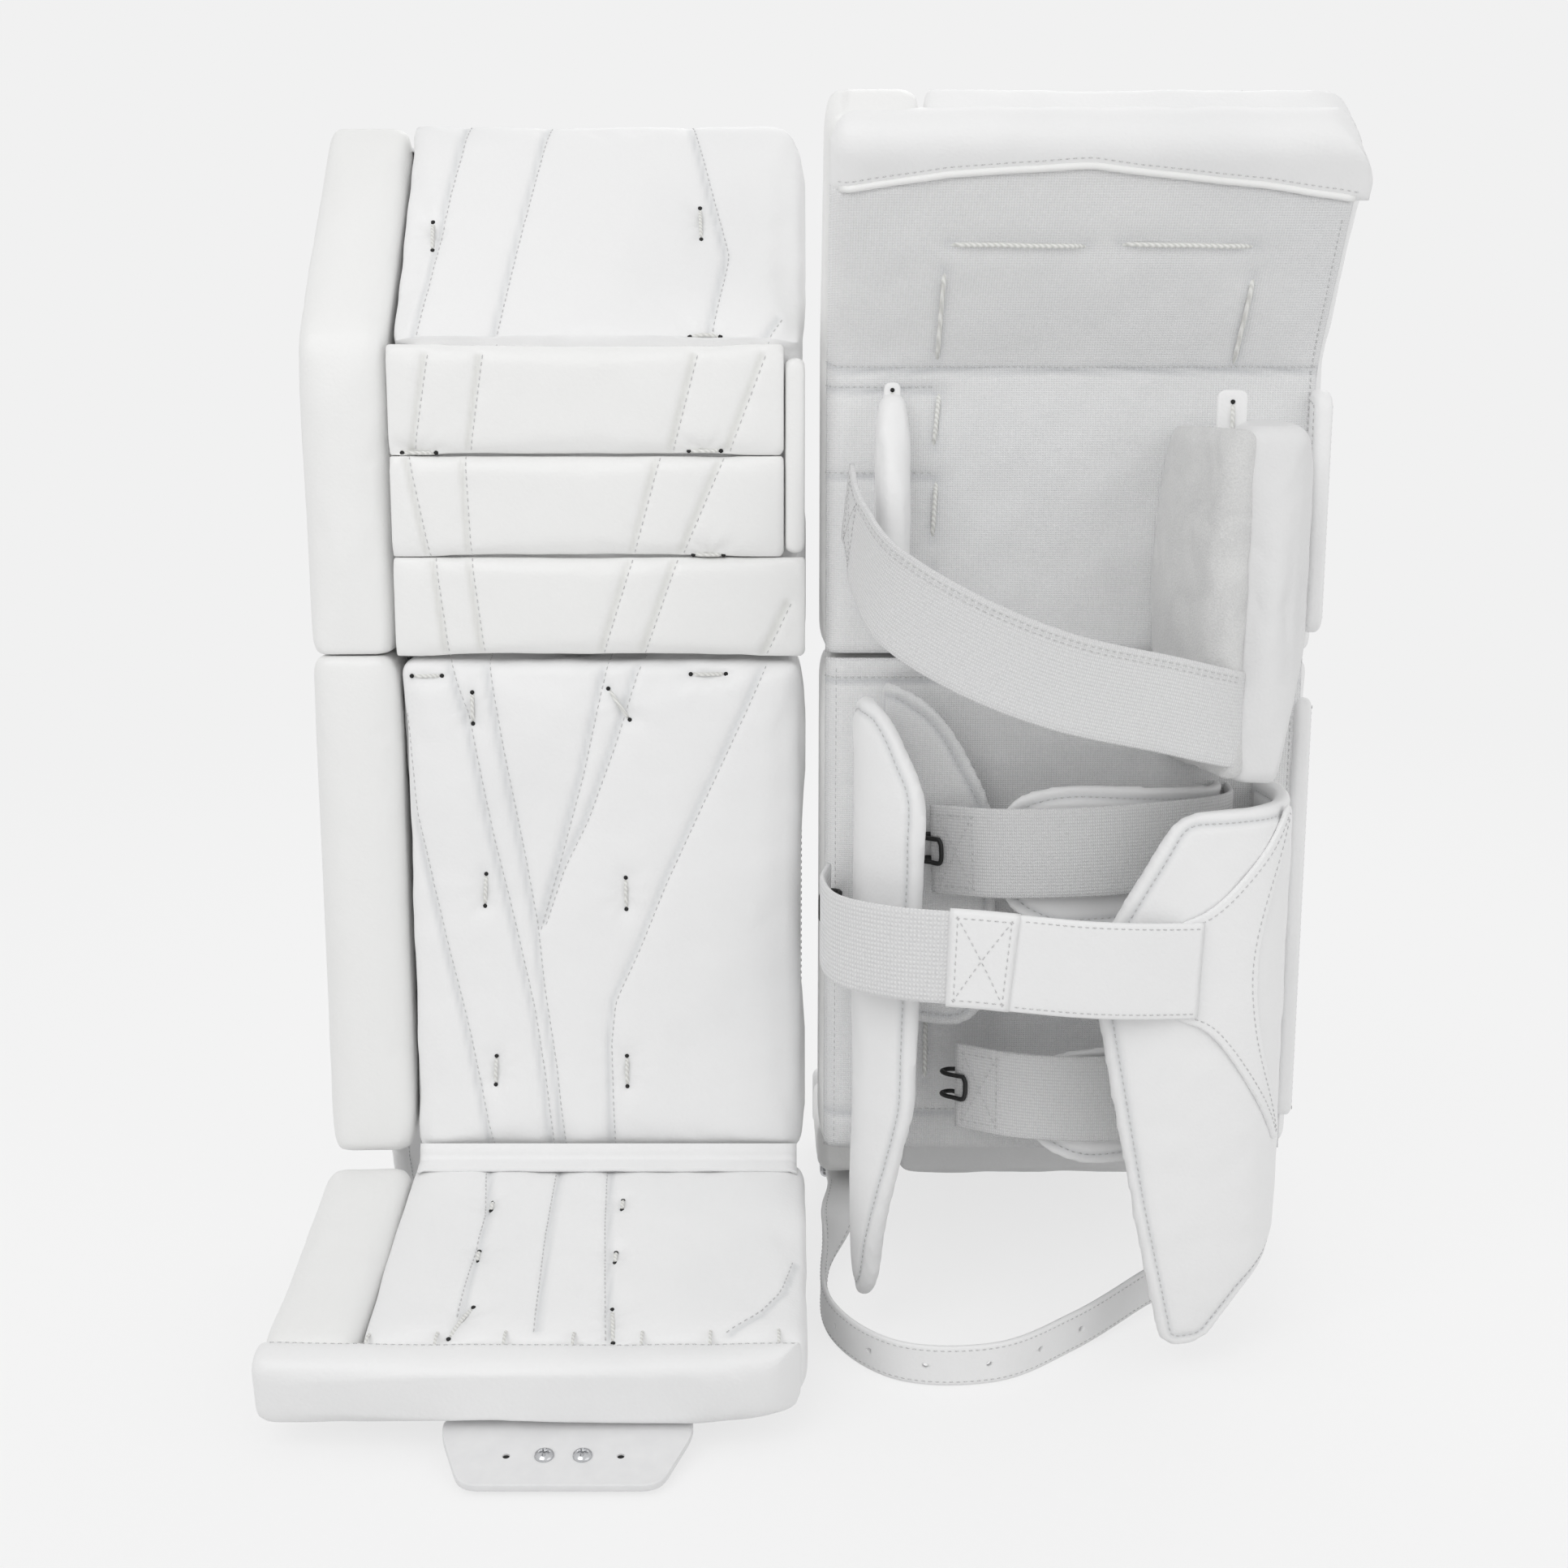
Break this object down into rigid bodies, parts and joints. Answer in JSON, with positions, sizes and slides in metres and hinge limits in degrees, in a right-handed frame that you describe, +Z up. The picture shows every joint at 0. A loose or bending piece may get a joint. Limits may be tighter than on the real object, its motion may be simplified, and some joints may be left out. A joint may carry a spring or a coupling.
{
  "type": "goalie leg pads",
  "caption": "Pair of white ice hockey goalie leg pads with rolls, knee and calf wraps, elastic straps with hooks, and bent boots.",
  "frame": {"origin": "midway between the two pads, at mid depth of the shins and at the lowest point of the heel loops", "axes": "+Z up the pads; X across the pair, the right pad at -X; the right pad's front faces -Y and the left pad's front faces +Y"},
  "size_m": [0.5687, 0.5168, 0.6775],
  "materials": {
    "leather": "smooth white synthetic leather",
    "nylon": "light grey knitted nylon",
    "foam": "closed-cell foam",
    "elastic": "white ribbed elastic",
    "webbing": "white woven webbing",
    "plate": "white plastic",
    "steel": "plated steel",
    "black_plastic": "black moulded plastic"
  },
  "bodies": {
    "right_shin": {"right_shin_cover": "leather", "right_shin_core": "foam", "right_shin_back_panel": "nylon", "right_shin_outer_roll": "leather"},
    "right_thigh": {"right_thigh_cover": "leather", "right_thigh_core": "foam", "right_thigh_back_panel": "nylon", "right_thigh_outer_roll": "leather", "right_knee_roll_lower": "leather", "right_knee_roll_middle": "leather", "right_knee_roll_upper": "leather"},
    "right_boot": {"right_boot_cover": "leather", "right_boot_core": "foam", "right_boot_outer_roll": "leather", "right_toe_bridge_plate": "plate", "right_toe_screw_1": "steel", "right_toe_screw_2": "steel"},
    "right_boot_strap": {"right_boot_strap": "leather", "right_boot_buckle": "steel"},
    "right_calf_inner": {"right_calf_wrap_inner": "leather"},
    "right_calf_outer": {"right_calf_wrap_outer": "leather"},
    "right_outer_strap": {"right_outer_strap": "webbing", "right_outer_strap_hook": "black_plastic"},
    "right_calf_strap_upper": {"right_calf_strap_upper": "elastic", "right_calf_strap_upper_hook": "black_plastic"},
    "right_calf_strap_lower": {"right_calf_strap_lower": "elastic", "right_calf_strap_lower_hook": "black_plastic"},
    "right_knee_stack": {"right_knee_stack": "leather"},
    "right_knee_strap": {"right_knee_strap": "elastic"},
    "right_knee_wing": {"right_knee_wing": "leather"},
    "left_shin": {"left_shin_cover": "leather", "left_shin_core": "foam", "left_shin_back_panel": "nylon", "left_shin_outer_roll": "leather"},
    "left_thigh": {"left_thigh_cover": "leather", "left_thigh_core": "foam", "left_thigh_back_panel": "nylon", "left_thigh_outer_roll": "leather", "left_knee_roll_lower": "leather", "left_knee_roll_middle": "leather", "left_knee_roll_upper": "leather"},
    "left_boot": {"left_boot_cover": "leather", "left_boot_core": "foam", "left_boot_outer_roll": "leather", "left_toe_bridge_plate": "plate", "left_toe_screw_1": "steel", "left_toe_screw_2": "steel"},
    "left_boot_strap": {"left_boot_strap": "leather", "left_boot_buckle": "steel"},
    "left_calf_inner": {"left_calf_wrap_inner": "leather"},
    "left_calf_outer": {"left_calf_wrap_outer": "leather"},
    "left_outer_strap": {"left_outer_strap": "webbing", "left_outer_strap_hook": "black_plastic"},
    "left_calf_strap_upper": {"left_calf_strap_upper": "elastic", "left_calf_strap_upper_hook": "black_plastic"},
    "left_calf_strap_lower": {"left_calf_strap_lower": "elastic", "left_calf_strap_lower_hook": "black_plastic"},
    "left_knee_stack": {"left_knee_stack": "leather"},
    "left_knee_strap": {"left_knee_strap": "elastic"},
    "left_knee_wing": {"left_knee_wing": "leather"}
  },
  "joints": [
    {"name": "right_knee_flex", "type": "hinge", "parent": "right_shin", "child": "right_thigh", "pos_m": [-0.144, -0.036, 0.3825], "axis": [1, 0, 0], "range_deg": [0, 10], "stiffness_Nm_per_rad": 30},
    {"name": "right_boot_flex", "type": "hinge", "parent": "right_shin", "child": "right_boot", "pos_m": [-0.144, -0.035, 0.0865], "axis": [1, 0, 0], "range_deg": [0, 75], "stiffness_Nm_per_rad": 25},
    {"name": "right_boot_strap_swing", "type": "hinge", "parent": "right_boot", "child": "right_boot_strap", "pos_m": [-0.144, -0.10454, 0.03169], "axis": [-1, 0, 0], "range_deg": [0, 75]},
    {"name": "right_calf_wrap_open", "type": "hinge", "parent": "right_shin", "child": "right_calf_inner", "pos_m": [-0.028, 0.0265, 0.1645], "axis": [0, 0, -1], "range_deg": [0, 30], "stiffness_Nm_per_rad": 2},
    {"name": "right_outer_strap_open", "type": "hinge", "parent": "right_calf_inner", "child": "right_outer_strap", "pos_m": [-0.0626, 0.1256, 0.2295], "axis": [0, 0, -1], "range_deg": [0, 45]},
    {"name": "right_outer_calf_wrap_open", "type": "hinge", "parent": "right_shin", "child": "right_calf_outer", "pos_m": [-0.26, 0.0245, 0.2025], "axis": [0, 0, 1], "range_deg": [0, 12]},
    {"name": "right_upper_calf_strap_open", "type": "hinge", "parent": "right_shin", "child": "right_calf_strap_upper", "pos_m": [-0.0504, 0.0264, 0.2855], "axis": [0, 0, -1], "range_deg": [0, 24]},
    {"name": "right_lower_calf_strap_open", "type": "hinge", "parent": "right_shin", "child": "right_calf_strap_lower", "pos_m": [-0.0504, 0.0264, 0.1395], "axis": [0, 0, -1], "range_deg": [0, 24]},
    {"name": "right_knee_stack_open", "type": "hinge", "parent": "right_thigh", "child": "right_knee_stack", "pos_m": [-0.03, 0.0264, 0.4205], "axis": [0, 0, -1], "range_deg": [0, 25], "stiffness_Nm_per_rad": 3},
    {"name": "right_knee_strap_open", "type": "hinge", "parent": "right_knee_stack", "child": "right_knee_strap", "pos_m": [-0.045, 0.1313, 0.3585], "axis": [0, 0, -1], "range_deg": [0, 37.5]},
    {"name": "right_knee_wing_open", "type": "hinge", "parent": "right_thigh", "child": "right_knee_wing", "pos_m": [-0.254, 0.0244, 0.4585], "axis": [0, 0, 1], "range_deg": [0, 10]},
    {"name": "left_knee_flex", "type": "hinge", "parent": "left_shin", "child": "left_thigh", "pos_m": [0.144, 0.036, 0.3825], "axis": [-1, 0, 0], "range_deg": [0, 10], "stiffness_Nm_per_rad": 30},
    {"name": "left_boot_flex", "type": "hinge", "parent": "left_shin", "child": "left_boot", "pos_m": [0.144, 0.035, 0.0865], "axis": [-1, 0, 0], "range_deg": [0, 75], "stiffness_Nm_per_rad": 25},
    {"name": "left_boot_strap_swing", "type": "hinge", "parent": "left_boot", "child": "left_boot_strap", "pos_m": [0.144, 0.10454, 0.03169], "axis": [1, 0, 0], "range_deg": [0, 75]},
    {"name": "left_calf_wrap_open", "type": "hinge", "parent": "left_shin", "child": "left_calf_inner", "pos_m": [0.26, -0.0265, 0.1645], "axis": [0, 0, 1], "range_deg": [0, 30], "stiffness_Nm_per_rad": 2},
    {"name": "left_outer_strap_open", "type": "hinge", "parent": "left_calf_inner", "child": "left_outer_strap", "pos_m": [0.2254, -0.1256, 0.2295], "axis": [0, 0, 1], "range_deg": [0, 45]},
    {"name": "left_outer_calf_wrap_open", "type": "hinge", "parent": "left_shin", "child": "left_calf_outer", "pos_m": [0.028, -0.0245, 0.2025], "axis": [0, 0, -1], "range_deg": [0, 12]},
    {"name": "left_upper_calf_strap_open", "type": "hinge", "parent": "left_shin", "child": "left_calf_strap_upper", "pos_m": [0.2376, -0.0264, 0.2855], "axis": [0, 0, 1], "range_deg": [0, 24]},
    {"name": "left_lower_calf_strap_open", "type": "hinge", "parent": "left_shin", "child": "left_calf_strap_lower", "pos_m": [0.2376, -0.0264, 0.1395], "axis": [0, 0, 1], "range_deg": [0, 24]},
    {"name": "left_knee_stack_open", "type": "hinge", "parent": "left_thigh", "child": "left_knee_stack", "pos_m": [0.258, -0.0264, 0.4205], "axis": [0, 0, 1], "range_deg": [0, 25], "stiffness_Nm_per_rad": 3},
    {"name": "left_knee_strap_open", "type": "hinge", "parent": "left_knee_stack", "child": "left_knee_strap", "pos_m": [0.243, -0.1313, 0.3585], "axis": [0, 0, 1], "range_deg": [0, 37.5]},
    {"name": "left_knee_wing_open", "type": "hinge", "parent": "left_thigh", "child": "left_knee_wing", "pos_m": [0.034, -0.0244, 0.4585], "axis": [0, 0, -1], "range_deg": [0, 10]},
    {"name": "pair_spacing", "type": "slide", "parent": "right_shin", "child": "left_shin", "axis": [1, 0, 0], "range_m": [0, 0.25]}
  ],
  "couplings": [
    {"joint": "right_boot_strap_swing", "follows": "right_boot_flex", "ratio": 1},
    {"joint": "right_outer_strap_open", "follows": "right_calf_wrap_open", "ratio": 1.5},
    {"joint": "right_outer_calf_wrap_open", "follows": "right_calf_wrap_open", "ratio": 0.4},
    {"joint": "right_upper_calf_strap_open", "follows": "right_calf_wrap_open", "ratio": 0.8},
    {"joint": "right_lower_calf_strap_open", "follows": "right_calf_wrap_open", "ratio": 0.8},
    {"joint": "right_knee_strap_open", "follows": "right_knee_stack_open", "ratio": 1.5},
    {"joint": "right_knee_wing_open", "follows": "right_knee_stack_open", "ratio": 0.4},
    {"joint": "left_boot_strap_swing", "follows": "left_boot_flex", "ratio": 1},
    {"joint": "left_outer_strap_open", "follows": "left_calf_wrap_open", "ratio": 1.5},
    {"joint": "left_outer_calf_wrap_open", "follows": "left_calf_wrap_open", "ratio": 0.4},
    {"joint": "left_upper_calf_strap_open", "follows": "left_calf_wrap_open", "ratio": 0.8},
    {"joint": "left_lower_calf_strap_open", "follows": "left_calf_wrap_open", "ratio": 0.8},
    {"joint": "left_knee_strap_open", "follows": "left_knee_stack_open", "ratio": 1.5},
    {"joint": "left_knee_wing_open", "follows": "left_knee_stack_open", "ratio": 0.4}
  ]
}
